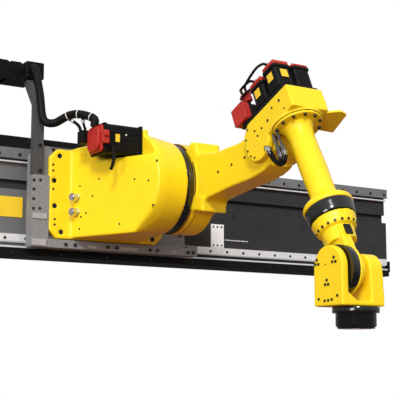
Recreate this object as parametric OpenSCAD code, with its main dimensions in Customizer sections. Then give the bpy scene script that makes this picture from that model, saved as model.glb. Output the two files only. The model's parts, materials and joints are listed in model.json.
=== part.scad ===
// Rail-mounted six-axis robot. X runs along the rail, -Y points out from it, Z is up.
// The origin is on the back mounting face, at mid-length and mid-height of the rail.

/* [Rail] */
// Length of the rail beam
rail_len = 4150; // [3600:50:6000]
// Gap that the back pads hold between the beam and the wall
pad_t = 25; // [20:1:40]
// Clearance radius of the pad bolt holes
pad_hole_r = 13; // [9:0.5:16]
// Level of the lower rail face's bottom edge
face_low_z = -169; // [-175:1:-160]
// Length of the cable trough on top of the rail
trough_len = 1975; // [1500:25:2000]

/* [Carriage] */
// Left edge of the carriage plate
plate_left = -680; // [-700:5:-660]
// Right edge of the carriage plate
plate_right = 350; // [300:5:380]
// Top edge of the carriage plate
plate_top = 335; // [320:1:360]
// Bottom edge of the carriage plate
plate_low = -250; // [-260:1:-245]
// Thickness of the carriage plate and of the flange on it
plate_t = 40; // [35:1:42]

/* [Robot] */
// Radius of the shoulder hub
hub_r = 260; // [240:1:270]
// Thickness of the swinging arm
arm_t = 150; // [130:1:150]
// Distance between the shoulder and elbow axes
arm_len = 888; // [880:1:900]
// Angle of the arm above the horizontal
arm_rise = 7.7; // [7:0.1:8]
// Distance from the elbow flange to the bend axis
forearm_len = 837; // [820:1:850]
// Angle of the forearm below the horizontal
forearm_dip = 62.1; // [61:0.1:63]
// Radius of the tool flange
tool_r = 93; // [80:1:98]

/* [Motors] */
// Frame width of the base motor
base_motor_w = 176; // [160:1:180]
// Frame width of the wrist motors
wrist_motor_w = 112; // [100:1:114]
// Frame width of the elbow motor
elbow_motor_w = 116; // [100:1:118]

/* [Hidden] */
$fn = 48;

yellow = [0.98, 0.80, 0.05];
black = [0.05, 0.05, 0.06];
dark = [0.22, 0.23, 0.24];
grey = [0.48, 0.50, 0.52];
steel = [0.70, 0.71, 0.72];
red = [0.72, 0.10, 0.10];
gap = 5;          // clearance between moving pieces
seat = 0.3;       // gap between curved faces that face each other
soft_fn = 32;     // facets of the rounds inside a hull

// Rail section: y of each front face and z of each step.
back_y = -pad_t;
strip_y = -271;
edge_y = -260;
band_y = -235;
face_y = -253;
slot_y = -210;
rail_low_z = -238;
slot_low_z = 86;
slot_top_z = 142;
band_top_z = 240;
edge_top_z = 248;
strip_low_z = 260;
rail_top_z = 322;
strip_back_y = -205;
rack_y = -258;
lower_guide_y = [-262, -60];
lower_guide_z = -249;
channel_y = -280;
channel_low_z = -291;
trough_y = [-203, -52];
trough_h = 144;
trough_wall = 5;

// Carriage planes.
plate_back_y = -305;
plate_front_y = plate_back_y - plate_t;
flange_front_y = plate_front_y - plate_t;
member_right = plate_left + 104;

// Robot axes, from the shoulder axis at x = 0.
axis_y = -685;
axis_z = 95;
foot_y = flange_front_y - axis_y;
arm_left = 60;
arm_mid = arm_left + arm_t / 2;
elbow_y = -arm_len * cos(arm_rise);
elbow_z = arm_len * sin(arm_rise);
out_y = -cos(forearm_dip);
out_z = -sin(forearm_dip);
flange_off = [-199, 48];     // flange centre from the elbow axis
flange_y = elbow_y + flange_off[0];
flange_z = elbow_z + flange_off[1];
bend_y = flange_y + forearm_len * out_y;
bend_z = flange_z + forearm_len * out_z;
casing_left = 22;
casing_right = 2 * arm_mid - casing_left;
cheek_t = 33;
roll_z = forearm_len - 342;     // upper face of the roll ring, down the forearm
drum_z = roll_z + 67;
elbow_end_r = 118;      // round end of the arm
lower_end_r = 133;      // the same, on its lower side
flange_r = 134;
flange_t = 14;
ring_x = [43, 85];
fork_x = [0, 38];
neck_x = [85, 140];
housing_x = [172, 250];
spigot_r = 60;

// Draws a y-z outline as a plate from x0 to x1.
module along_x(x0, x1) {
    translate([x0, 0, 0]) rotate([90, 0, 90]) linear_extrude(x1 - x0) children();
}

module rod_x(x0, x1, r, y = 0, z = 0) {
    translate([x0, y, z]) rotate([0, 90, 0]) cylinder(r = r, h = x1 - x0);
}

module slab(x, y, z) {
    translate([x[0], y[0], z[0]]) cube([x[1] - x[0], y[1] - y[0], z[1] - z[0]]);
}

// Box with rounded long edges, lying along x.
module round_bar(x0, x1, w, h, r) {
    along_x(x0, x1) offset_square(w, h, r);
}

module offset_square(w, h, r) {
    union() {
        square([w - 2 * r, h], center = true);
        square([w, h - 2 * r], center = true);
        for (sy = [-1, 1], sz = [-1, 1])
            translate([sy * (w / 2 - r), sz * (h / 2 - r)]) circle(r);
    }
}

module at_shoulder() {
    translate([0, axis_y, axis_z]) children();
}

module at_elbow() {
    at_shoulder() translate([0, elbow_y, elbow_z]) children();
}

// Local z runs down the forearm from the elbow flange, local y outwards across it.
module on_forearm() {
    at_shoulder() translate([arm_mid, flange_y, flange_z]) rotate([90 + forearm_dip, 0, 0]) children();
}

module at_bend() {
    at_shoulder() translate([0, bend_y, bend_z]) children();
}

// ---------- rail ----------

module rail_beam() {
    x = rail_len / 2;
    color(dark) along_x(-x, x) polygon([
        [back_y, rail_low_z], [band_y, rail_low_z], [band_y, face_low_z - 43],
        [band_y, face_low_z], [face_y, face_low_z], [face_y, slot_low_z],
        [slot_y, slot_low_z], [slot_y, slot_top_z], [band_y, slot_top_z],
        [band_y, strip_low_z], [trough_y[1], strip_low_z], [trough_y[1], rail_top_z],
        [back_y, rail_top_z]]);
}

module guide_strip() {
    x = rail_len / 2;
    color(grey) slab([-x, x], [strip_y, strip_back_y], [strip_low_z, rail_top_z]);
}

module guide_edge() {
    x = rail_len / 2 - 2;
    color(steel) slab([-x, x], [edge_y, band_y], [band_top_z, edge_top_z]);
}

module gear_rack() {
    x = rail_len / 2 - 5;
    color(steel) slab([-x, x], [rack_y, band_y], [face_low_z - 43, face_low_z - 1]);
}

module lower_guide() {
    x = rail_len / 2;
    color(steel) slab([-x, x], lower_guide_y, [lower_guide_z, rail_low_z]);
}

module base_channel() {
    x = rail_len / 2;
    color(black) slab([-x, x - 5], [channel_y, back_y], [channel_low_z, lower_guide_z]);
}

// Open channel behind the guide strip, where the cable carrier's lower run lies.
module cable_trough() {
    inner_y = [trough_y[0] + trough_wall, trough_y[1] - trough_wall];
    color(black) translate([-rail_len / 2, 0, strip_low_z]) difference() {
        slab([0, trough_len], trough_y, [0, trough_h]);
        slab([-1, trough_len + 1], inner_y, [trough_wall, trough_h + 1]);
    }
}

module rail_nose() {
    color(black) slab([rail_len / 2, rail_len / 2 + 12], [-270, -60], [lower_guide_z - 11, -185]);
}

// Pads on the back, each with a four-hole pattern.
pad_x = [-1700, 0, 1700];
pad_w = 260;
pad_h = 520;
pad_pitch_x = 180;
pad_pitch_z = 420;

module mounting_pads() {
    color(dark) for (px = pad_x) difference() {
        slab([px - pad_w / 2, px + pad_w / 2], [back_y, 0], [-pad_h / 2, pad_h / 2]);
        for (sx = [-1, 1], sz = [-1, 1])
            translate([px + sx * pad_pitch_x / 2, 1, sz * pad_pitch_z / 2])
                rotate([90, 0, 0]) cylinder(r = pad_hole_r, h = pad_t + 2);
    }
}

sign_x = [-1260, -682];
sign_z = [-75, 41];

module sign_plate() {
    color(yellow) slab(sign_x, [face_y - 4, face_y], sign_z);
}

module scale_plate() {
    color([0.9, 0.9, 0.9]) slab([600, 697], [face_y - 5, face_y], [face_low_z, -21]);
}

// ---------- carriage ----------

module carriage_plate() {
    color(grey) difference() {
        slab([plate_left, plate_right], [plate_front_y, plate_back_y], [plate_low, plate_top]);
        translate([plate_left, plate_front_y - 1, plate_top]) rotate([-90, 0, 0])
            cylinder(r = 60, h = plate_t + 2, $fn = 4);
    }
}

module side_member() {
    color(grey) slab([plate_left, member_right], [flange_front_y, plate_front_y], [plate_low, 159]);
}

module lower_member() {
    color(grey) union() {
        slab([member_right, plate_right], [flange_front_y, plate_front_y], [plate_low, -201]);
        slab([plate_right, plate_right + 68], [flange_front_y, plate_back_y], [plate_low, -185]);
    }
}

// Two bearing blocks on the guide strip and two under it, behind the plate.
module bearing_blocks() {
    color(dark) for (bx = [plate_left + 60, plate_right - 200]) {
        slab([bx, bx + 140], [plate_back_y, strip_y - seat], [262, 320]);
        slab([bx, bx + 140], [plate_back_y, face_y - seat], [46, 84]);
    }
}

post_x = [-680, -616];
bracket_z = 731;
bracket_t = 8;
chain_y = [-185, -75];
chain_end = -664;

module cable_post() {
    color(grey) along_x(post_x[0], post_x[1]) polygon([
        [flange_front_y, 159], [plate_front_y, 159], [plate_front_y, 560],
        [-222, 722], [-222, bracket_z], [-268, bracket_z], [flange_front_y, 582]]);
}

module chain_bracket() {
    color(grey) slab([-775, post_x[1]], [-275, chain_y[1]], [bracket_z, bracket_z + bracket_t]);
}

// Cable carrier: a flat loop with a round end, its lower run in the trough.
chain_turn_x = -1250;
chain_low_z = strip_low_z + trough_wall + 6;
chain_t = 118;
lower_run = 900;

module cable_chain() {
    top_z = bracket_z + bracket_t + chain_t;
    outer_r = (top_z - chain_low_z) / 2;
    color(black) translate([0, chain_y[1], 0]) rotate([90, 0, 0])
        linear_extrude(chain_y[1] - chain_y[0]) union() {
            translate([chain_turn_x, top_z - chain_t]) square([chain_end - chain_turn_x, chain_t]);
            translate([chain_turn_x, chain_low_z]) square([lower_run, chain_t]);
            translate([chain_turn_x, chain_low_z + outer_r]) difference() {
                circle(outer_r);
                circle(outer_r - chain_t);
                translate([0, -outer_r - 1]) square([outer_r + 1, 2 * outer_r + 2]);
            }
        }
}

module cable_clamp() {
    color(black) slab([-690, -580], [-288, -228], [bracket_z + bracket_t, 838]);
}

// Route of the cable bundle, from the clamp to the connector box.
bundle_r = 24;
bundle_route = [[-657, -288.3, 790], [-657, -318, 790], [-655, -350, 745], [-653, -370, 690],
    [-654, -400, 620], [-656, -422, 555], [-655, -434, 500], [-645, -446, 458],
    [-625, -465, 442], [-598, -495, 442], [-572, -525, 460], [-545, -560, 478],
    [-518, -605, 480], [-486, -655, 466], [-458, -700, 440], [-458, -700, 399.3]];
bundle_sides = 10;

function unit(v) = v / norm(v);
function tangent(p, i) = unit(p[min(i + 1, len(p) - 1)] - p[max(i - 1, 0)]);
function ring_points(p, i, r, n) =
    let (t = tangent(p, i), u = unit(cross(t, [1, 0.3, 0])), v = cross(t, u))
    [for (k = [0 : n - 1]) p[i] + r * (cos(k * 360 / n) * u + sin(k * 360 / n) * v)];

module tube(p, r, n) {
    last = len(p) - 1;
    sides = [for (i = [0 : last - 1], k = [0 : n - 1])
        [i * n + k, i * n + (k + 1) % n, (i + 1) * n + (k + 1) % n, (i + 1) * n + k]];
    caps = [[for (k = [0 : n - 1]) n - 1 - k], [for (k = [0 : n - 1]) last * n + k]];
    polyhedron([for (i = [0 : last]) each ring_points(p, i, r, n)], concat(sides, caps));
}

module cable_bundle() {
    color(black) tube(bundle_route, bundle_r, bundle_sides);
}

// Connector box on the inner side of the base motor's cap.
base_motor_y = -5;
base_motor_z = 234;
base_cap_y = -15;
base_cap_w = base_motor_w - 36;
base_cap_x = [-464, -432];
motor_seat_x = -195;

module connector_box() {
    side_y = base_cap_y + base_cap_w / 2 + seat;
    color(black) at_shoulder()
        slab([base_cap_x[0] - 30, base_cap_x[1] - 10], [side_y, side_y + 70], [222, 296]);
}

// ---------- base ----------

module flange_outline() {
    difference() {
        translate([member_right, -292]) square([170 - member_right, 517]);
        for (c = [[member_right, -292], [170, -292], [170, 225], [member_right, 225]])
            translate(c) circle(r = 50, $fn = 4);
    }
}

module base_bolt_holes() {
    for (p = [[-514, 184], [-546, 39], [-541, -106], [-498, -253], [100, -259]])
        translate([p[0], foot_y - 10, p[1]]) rotate([-90, 0, 0]) cylinder(r = 16, h = 22);
}

body_left = -440;
drum_left = -200;
drum_r = 286;
body_low_z = -285;
body_corner_x = body_left + (drum_left - body_left) * (foot_y + 124) / (foot_y + drum_r);
body_slant = atan((drum_left - body_left) / (foot_y + drum_r));

module base_casting() {
    color(yellow) at_shoulder() union() {
        difference() {
            translate([0, foot_y + plate_t, 0]) rotate([90, 0, 0]) linear_extrude(plate_t)
                flange_outline();
            base_bolt_holes();
        }
        difference() {
            hull() {
                slab([body_left, -1], [foot_y - 1, foot_y + 1], [body_low_z, 232]);
                slab([body_corner_x, body_corner_x + 18], [-124, -110], [body_low_z, -202]);
                rod_x(drum_left, -150, drum_r, $fn = 64);
                rod_x(-1, 0, hub_r + 2, $fn = 64);
            }
            slab([-520, motor_seat_x], [-drum_r - 10, 100], [146, 400]);
        }
        slab([motor_seat_x, motor_seat_x + 30], [-105, 95], [120, 304]);
    }
}

module base_motor() {
    color(black) at_shoulder() translate([0, base_motor_y, base_motor_z])
        round_bar(base_cap_x[1], motor_seat_x, base_motor_w, base_motor_w, 18);
}

module base_motor_cap() {
    color(red) at_shoulder() translate([0, base_cap_y, base_motor_z])
        round_bar(base_cap_x[0], base_cap_x[1], base_cap_w, base_cap_w, 36);
}

// Two service fittings on the slanted face of the casting.
module base_fittings() {
    color(steel) at_shoulder() for (z = [-57, -141])
        translate([body_left, foot_y, z]) rotate([0, 0, body_slant])
            translate([-0.7, -45, 0]) rotate([0, -90, 0]) cylinder(r = 22, h = 45);
}

module shoulder_ring() {
    color(black) at_shoulder() difference() {
        rod_x(0, 45, hub_r - 6, $fn = 96);
        rod_x(-1, 46, 150, $fn = 96);
    }
}

// ---------- arm ----------

// A stop block on the arm, given by its y-z outline.
module stop_block(outline) {
    along_x(50, arm_left + arm_t) polygon(outline);
}

module arm() {
    x = [arm_left, arm_left + arm_t];
    color(yellow) at_shoulder() union() {
        rod_x(50, 205, hub_r, $fn = 96);
        rod_x(seat, 50, 140, $fn = 96);
        along_x(x[0], x[1]) polygon([
            [-120, 225], [-250, 175], [-440, 145], [-679, 159], [elbow_y + 173, elbow_z + 51],
            [elbow_y + 100, elbow_z + 60], [elbow_y, elbow_z],
            [elbow_y - lower_end_r * sin(26), elbow_z - lower_end_r * cos(26)],
            [elbow_y + 6, elbow_z - 147], [-767, -51], [-584, -67], [-359, -97], [-200, -165]]);
        rod_x(x[0], x[1], elbow_end_r, elbow_y, elbow_z, $fn = 96);
        rod_x(casing_left + cheek_t + seat, casing_right - cheek_t - seat, spigot_r, elbow_y, elbow_z);
        stop_block([[-150, 200], [-200, 242], [-262, 228], [-268, 150], [-200, 100]]);
        stop_block([[-200, -60], [-335, -90], [-325, -168], [-237, -154], [-180, -140]]);
    }
}

// ---------- elbow and forearm ----------

// Outline of the elbow casing in the y-z plane, from the elbow axis.
rear = [[82, 105], [-251, 250.5]];
front = [for (side = [1, -1]) flange_off - 26 * [out_y, out_z] + side * flange_r * [out_z, -out_y]];
plate_tilt = atan((rear[1][1] - rear[0][1]) / (rear[0][0] - rear[1][0]));

module casing_outline() {
    union() {
        circle(100);
        polygon([rear[0], rear[1], front[0], front[1], [0, -60]]);
        polygon([rear[0], [-20, 0], [0, -98], [60, -82], [113, 38]]);
    }
}

// What the arm sweeps between the two cheeks of the casing.
module arm_slot() {
    union() {
        circle(elbow_end_r + gap);
        intersection() {
            circle(lower_end_r + gap + 1);
            rotate(165) translate([-400, 0]) square([800, 400]);
        }
        rotate(-12) translate([0, -elbow_end_r - gap]) square([400, 2 * elbow_end_r - 50]);
        rotate(-70) translate([0, -lower_end_r - 30]) square([400, 3 * elbow_end_r]);
    }
}

module slot_cut() {
    at_elbow() along_x(arm_left - gap, arm_left + arm_t + gap) arm_slot();
}

module elbow_casing() {
    color(yellow) difference() {
        union() {
            at_elbow() along_x(casing_left, casing_right) casing_outline();
            on_forearm() translate([0, 0, -2 * flange_t]) cylinder(r = flange_r, h = flange_t, $fn = 96);
        }
        slot_cut();
    }
}

// Local x along the rail, z away from the casing's rear face, y back towards the rail.
module on_rear_face() {
    at_elbow() translate([arm_mid, rear[0][0] + 36, rear[0][1] - 36 * tan(plate_tilt)])
        rotate([-plate_tilt, 0, 0]) children();
}

module motor_plate() {
    color(black) on_rear_face() slab([-112, 112], [-378, -2], [0, 26]);
}

module motor(w, h, cap_h) {
    translate([0, 0, 26]) {
        color(black) linear_extrude(h) offset_square(w, w, 10);
        color(red) translate([0, 0, h]) linear_extrude(cap_h) offset_square(w - 6, w - 6, 16);
    }
}

module wrist_motor_1() {
    on_rear_face() translate([-60, -308, 0]) motor(wrist_motor_w, 138, 22);
}

module wrist_motor_2() {
    on_rear_face() translate([-60, -184, 0]) motor(wrist_motor_w, 122, 24);
}

module wrist_motor_3() {
    on_rear_face() translate([64, -308, 0]) motor(wrist_motor_w, 144, 14);
}

module elbow_motor() {
    on_rear_face() translate([0, -8, 26 + elbow_motor_w / 2]) union() {
        color(black) round_bar(-80, 110, elbow_motor_w, elbow_motor_w, 14);
        color(red) round_bar(-125, -80, elbow_motor_w, elbow_motor_w, 24);
    }
}

module elbow_connectors() {
    color(red) on_rear_face() for (i = [0, 1])
        translate([-70, -60 + 36 * i, 0]) slab([-16, 16], [-14, 14], [26 + elbow_motor_w, 200]);
}

// Flat bracket that stands out beside the flange.
module side_bracket() {
    w = casing_right - arm_mid;
    color(yellow) on_forearm() translate([0, 0, -42]) linear_extrude(12) polygon([
        [w, -22], [w + 143, -28], [w + 130, 117], [w + 86, 133], [w + 52, 126], [w, 105]]);
}

module elbow_fittings() {
    color(steel) on_forearm() for (p = [[-108, -38], [-110, -68], [-100, -84]])
        translate([p[0], p[1], 0]) {
            cylinder(r = 8, h = 91);
            translate([0, 0, 90]) cylinder(r = 14, h = 56);
        }
}

module forearm() {
    color(yellow) difference() {
        on_forearm() rotate_extrude($fn = 96) polygon([
            [0, -flange_t], [flange_r - 4, -flange_t], [flange_r - 4, 0], [86, 0], [71, 26], [65, 75], [68, 250],
            [65, roll_z - 85], [80, roll_z - 57], [119, roll_z - 31], [124, roll_z - 21],
            [124, roll_z], [0, roll_z]]);
        slot_cut();
    }
}

module roll_ring() {
    color(black) on_forearm() translate([0, 0, roll_z]) cylinder(r1 = 121, r2 = 113, h = 62, $fn = 96);
}

// ---------- wrist ----------

// Flat neck between the drum and the bend axis, from that axis.
neck_w = 140;
neck_len = 230;
neck_r = 118;
neck_boss_r = 80;

module wrist_drum() {
    color(yellow) union() {
        on_forearm() translate([0, 0, drum_z]) rotate_extrude($fn = 96)
            polygon([[0, -4.7], [spigot_r, -4.7], [spigot_r, 0], [111, 0], [99, 50],
                [95, 58], [80, 64], [74, 128], [0, 128]]);
        at_bend() along_x(neck_x[0], neck_x[1]) rotate(forearm_dip)
            translate([0, -neck_w / 2]) square([neck_len, neck_w]);
        at_bend() rod_x(neck_x[0], neck_x[0] + 16, neck_r, $fn = 96);
        at_bend() rod_x(neck_x[0] + 15, neck_x[1] + 10, neck_boss_r);
        at_bend() rod_x(neck_x[1], housing_x[0] - seat, spigot_r);
    }
}

module bend_ring() {
    color(black) at_bend() union() {
        rod_x(ring_x[0], ring_x[1], 116, $fn = 96);
        rod_x(fork_x[1] + seat, ring_x[0], spigot_r);
    }
}

fork_y = [-88, 114];
fork_low_z = -165;
fork_top_z = -142;

// Cheek outline: a round head of radius r over the fork's foot.
module cheek_outline(head_y, head_z, r) {
    hull() {
        translate([head_y, head_z]) circle(r, $fn = soft_fn);
        translate([fork_y[0], fork_low_z + 8]) square([fork_y[1] - fork_y[0], 30]);
        translate([fork_y[0] + 8, fork_low_z]) square([fork_y[1] - fork_y[0] - 16, 30]);
    }
}

module wrist_fork() {
    color(yellow) at_bend() union() {
        along_x(fork_x[0], fork_x[1]) cheek_outline(13, 11, 101);
        along_x(housing_x[0], housing_x[1]) cheek_outline(0, 0, 80);
        slab([fork_x[0], housing_x[1]], fork_y, [fork_low_z, fork_top_z]);
    }
}

tool_y = -18;

module tool_flange() {
    color(black) at_bend() translate([arm_mid, tool_y, fork_low_z - gap]) rotate([180, 0, 0]) union() {
        translate([0, 0, seat - gap]) cylinder(r = spigot_r - 10, h = gap);
        cylinder(r = tool_r + 15, h = 24, $fn = 96);
        cylinder(r = tool_r, h = 83, $fn = 96);
        translate([0, 0, 83]) cylinder(r1 = tool_r, r2 = tool_r - 14, h = 12, $fn = 96);
    }
}

rail_beam();
guide_strip();
guide_edge();
gear_rack();
lower_guide();
base_channel();
cable_trough();
rail_nose();
mounting_pads();
sign_plate();
scale_plate();
carriage_plate();
side_member();
lower_member();
bearing_blocks();
cable_post();
chain_bracket();
cable_chain();
cable_clamp();
cable_bundle();
connector_box();
base_casting();
base_motor();
base_motor_cap();
base_fittings();
shoulder_ring();
arm();
elbow_casing();
motor_plate();
wrist_motor_1();
wrist_motor_2();
wrist_motor_3();
elbow_motor();
elbow_connectors();
side_bracket();
elbow_fittings();
forearm();
roll_ring();
wrist_drum();
bend_ring();
wrist_fork();
tool_flange();
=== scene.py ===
"""Looks of the rail-mounted robot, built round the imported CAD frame.

Places and sizes are in millimetres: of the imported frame, or of the local frame that is named beside them.
"""
import json
import math

import bmesh
import bpy
from mathutils import Matrix, Vector

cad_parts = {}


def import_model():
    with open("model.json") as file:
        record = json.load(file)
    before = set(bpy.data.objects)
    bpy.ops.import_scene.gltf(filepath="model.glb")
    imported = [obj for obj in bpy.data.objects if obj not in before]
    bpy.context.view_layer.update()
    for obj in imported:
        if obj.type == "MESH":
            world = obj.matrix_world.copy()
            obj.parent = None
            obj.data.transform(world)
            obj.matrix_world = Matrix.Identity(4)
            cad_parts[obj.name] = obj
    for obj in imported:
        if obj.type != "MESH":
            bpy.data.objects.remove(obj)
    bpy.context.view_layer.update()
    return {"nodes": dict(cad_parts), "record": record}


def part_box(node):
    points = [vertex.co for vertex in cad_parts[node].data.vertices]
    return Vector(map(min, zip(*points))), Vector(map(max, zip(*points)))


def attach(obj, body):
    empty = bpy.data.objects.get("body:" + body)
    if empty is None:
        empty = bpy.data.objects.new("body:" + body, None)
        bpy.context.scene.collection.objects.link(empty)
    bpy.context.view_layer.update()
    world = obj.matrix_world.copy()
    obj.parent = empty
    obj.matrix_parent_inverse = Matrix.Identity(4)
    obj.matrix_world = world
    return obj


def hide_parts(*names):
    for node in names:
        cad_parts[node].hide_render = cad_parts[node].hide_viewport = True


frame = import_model()
JOINTS = {j["name"]: j for j in frame["record"]["behaviour"]["joints"]}


# ---------- local frames ----------

X, Y, Z = Vector((1, 0, 0)), Vector((0, 1, 0)), Vector((0, 0, 1))
FRONT = -Y
IDENTITY = Matrix()


def mm(x, y, z):
    """A place given in millimetres, as a vector in metres."""
    return Vector((x, y, z)) / 1000


def box_mm(name):
    """Low and high corner of a CAD node, in millimetres."""
    low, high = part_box(name)
    return low * 1000, high * 1000


def frame_at(origin, x_axis, y_axis, z_axis):
    """A local frame from its origin, in metres, and its three axes."""
    m = Matrix((x_axis, y_axis, z_axis)).transposed().to_4x4()
    m.translation = origin
    return m


def aim(point, direction):
    """A local frame at point, in metres, whose z axis looks along direction."""
    m = Vector(direction).to_track_quat("Z", "Y").to_matrix().to_4x4()
    m.translation = Vector(point)
    return m


def shift(x, y, z):
    """A local frame that is only moved."""
    return Matrix.Translation(mm(x, y, z))


def facing_front(x, y, z):
    """Local x runs along the rail, y up, and z out to the front."""
    return frame_at(mm(x, y, z), X, Z, FRONT)


def on_axis(point):
    """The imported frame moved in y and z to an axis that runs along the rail."""
    return Matrix.Translation(Vector((0, point.y, point.z)))


# ---------- places, from the frame ----------

ring_low, ring_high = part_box("shoulder_ring")
ELBOW = Vector(JOINTS["elbow_bend"]["pos_m"])
DOWN_ARM = Vector(JOINTS["wrist_roll"]["axis"]).normalized()
ROLL_FROM_FLANGE = 0.56      # from the elbow flange to the roll joint's place; metres
FLANGE = Vector(JOINTS["wrist_roll"]["pos_m"]) - ROLL_FROM_FLANGE * DOWN_ARM
AT_SHOULDER = on_axis((ring_low + ring_high) / 2)
AT_ELBOW = on_axis(ELBOW)
AT_BEND = on_axis(Vector(JOINTS["wrist_bend"]["pos_m"]))
# Local z runs down the forearm from the elbow flange, local y outwards across it.
ON_FOREARM = frame_at(FLANGE, X, Vector((0, DOWN_ARM.z, -DOWN_ARM.y)), DOWN_ARM)

ARM_MID = ELBOW.x * 1000
LEFT_CHEEK = 22              # x of the casing's left face; its flange reaches further left
RIGHT_CHEEK = 2 * ARM_MID - LEFT_CHEEK

# The casing's rear face, by y and z of its ends from the elbow axis. Local z stands on it, y runs back.
REAR_LOW, REAR_HIGH = (82, 105), (-251, 250.5)
REAR_SHIFT = 36
REAR_TILT = math.atan2(REAR_HIGH[1] - REAR_LOW[1], REAR_LOW[0] - REAR_HIGH[0])
ON_REAR = frame_at(
    AT_ELBOW @ mm(ARM_MID, REAR_LOW[0] + REAR_SHIFT, REAR_LOW[1] - REAR_SHIFT * math.tan(REAR_TILT)),
    X,
    Vector((0, math.cos(REAR_TILT), -math.sin(REAR_TILT))),
    Vector((0, math.sin(REAR_TILT), math.cos(REAR_TILT))),
)


# ---------- materials ----------

MATERIALS = {}
GLOSS_SPREAD = 0.08
GRAIN_DEPTH = 0.002


def add_noise(tree, scale, detail):
    """Noise in the object's own space; gives its value."""
    place = tree.nodes.new("ShaderNodeTexCoord")
    noise = tree.nodes.new("ShaderNodeTexNoise")
    noise.inputs["Scale"].default_value = scale
    noise.inputs["Detail"].default_value = detail
    tree.links.new(place.outputs["Object"], noise.inputs["Vector"])
    return noise.outputs["Fac"]


def drift_colour(tree, drift, colour, vary):
    """The colour, a little darker and paler by turns."""
    ramp = tree.nodes.new("ShaderNodeValToRGB")
    dark, pale = ramp.color_ramp.elements
    dark.position, pale.position = 0.3, 0.7
    dark.color = [c * (1 - vary) for c in colour] + [1]
    pale.color = [min(1, c * (1 + vary)) for c in colour] + [1]
    tree.links.new(drift, ramp.inputs["Fac"])
    return ramp.outputs["Color"]


def uneven_gloss(tree, drift, rough):
    gloss = tree.nodes.new("ShaderNodeMapRange")
    gloss.inputs["To Min"].default_value = max(0.02, rough - GLOSS_SPREAD)
    gloss.inputs["To Max"].default_value = min(1, rough + GLOSS_SPREAD)
    tree.links.new(drift, gloss.inputs["Value"])
    return gloss.outputs["Result"]


def surface_grain(tree, scale, strength):
    rise = tree.nodes.new("ShaderNodeBump")
    rise.inputs["Strength"].default_value = strength
    rise.inputs["Distance"].default_value = GRAIN_DEPTH
    tree.links.new(add_noise(tree, scale, 3), rise.inputs["Height"])
    return rise.outputs["Normal"]


def material(name, colour, rough, metallic=0.0, vary=0.12, grain=40.0, bump=0.05, fine=600.0, shine=0.5):
    """Paint, metal or plastic with soft colour drift, uneven gloss and a fine surface grain."""
    mat = bpy.data.materials.new(name)
    mat.use_nodes = True
    tree = mat.node_tree
    sockets = tree.nodes["Principled BSDF"].inputs
    sockets["Metallic"].default_value = metallic
    sockets["Specular IOR Level"].default_value = shine
    drift = add_noise(tree, grain, 6)
    tree.links.new(drift_colour(tree, drift, colour, vary), sockets["Base Color"])
    tree.links.new(uneven_gloss(tree, drift, rough), sockets["Roughness"])
    tree.links.new(surface_grain(tree, fine, bump), sockets["Normal"])
    MATERIALS[name] = mat
    return mat


material("robot_yellow", (0.96, 0.69, 0.012), 0.34, vary=0.03, grain=5, bump=0.10, fine=260, shine=0.32)
material("rail_grey", (0.036, 0.037, 0.038), 0.6, vary=0.12, grain=9, bump=0.08, shine=0.15)
material("strip_grey", (0.20, 0.205, 0.21), 0.42, metallic=0.35, vary=0.08, grain=14)
material("bright_steel", (0.85, 0.86, 0.87), 0.38, metallic=0.35, vary=0.06, grain=30)
material("black_steel", (0.007, 0.007, 0.007), 0.55, vary=0.2, grain=12, shine=0.12)
material("sign_yellow", (0.90, 0.60, 0.02), 0.45, vary=0.03, grain=8, bump=0.02)
material("plate_white", (0.96, 0.97, 0.98), 0.40, vary=0.03, grain=20, bump=0.02)
material("carriage_grey", (0.22, 0.225, 0.235), 0.60, vary=0.16, grain=70, bump=0.16, fine=320)
# The cable post: the carriage grey made darker as painted shade, for the shadow that the post stands in.
material("post_shaded_grey", (0.055, 0.056, 0.058), 0.60, vary=0.16, grain=70, bump=0.16, fine=320)
material("black_plastic", (0.005, 0.005, 0.005), 0.5, vary=0.2, grain=30, shine=0.12)
material("cable_rubber", (0.005, 0.005, 0.005), 0.5, vary=0.2, grain=40, shine=0.12)
material("motor_black", (0.005, 0.005, 0.005), 0.5, vary=0.25, grain=24, bump=0.10, shine=0.15)
material("flange_black", (0.005, 0.005, 0.005), 0.14, vary=0.2, grain=20, bump=0.01, shine=0.7)
material("cap_red", (0.47, 0.026, 0.018), 0.4, vary=0.10, grain=14, shine=0.3)
material("fitting_chrome", (0.62, 0.61, 0.61), 0.22, metallic=0.95, vary=0.05, grain=30, bump=0.02)
material("hose_steel", (0.16, 0.155, 0.155), 0.25, metallic=0.9, vary=0.2, grain=60)
material("bolt_dark", (0.035, 0.033, 0.032), 0.38, metallic=0.6, vary=0.2, grain=60)
# Painted shade of holes and openings, laid on flat dark discs and plates.
material("hole_painted_shade", (0.006, 0.006, 0.006), 0.8, vary=0.3, grain=60)
material("tie_pale", (0.72, 0.72, 0.68), 0.5, vary=0.05, grain=60)
material("tag_grey", (0.38, 0.38, 0.39), 0.5, vary=0.12, grain=60)
material("seam_brown", (0.20, 0.085, 0.006), 0.7, vary=0.2, grain=30)
material("patch_yellow", (0.86, 0.56, 0.02), 0.5, vary=0.05, grain=40, bump=0.02)


def mix_colours(tree, factor, first, second):
    """Blends two colours; the first may be a socket."""
    mix = tree.nodes.new("ShaderNodeMix")
    mix.data_type = "RGBA"
    colour_a, colour_b = mix.inputs[6], mix.inputs[7]
    if isinstance(first, tuple):
        colour_a.default_value = (*first, 1)
    else:
        tree.links.new(first, colour_a)
    colour_b.default_value = (*second, 1)
    tree.links.new(factor, mix.inputs["Factor"])
    return mix.outputs[2]


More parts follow.
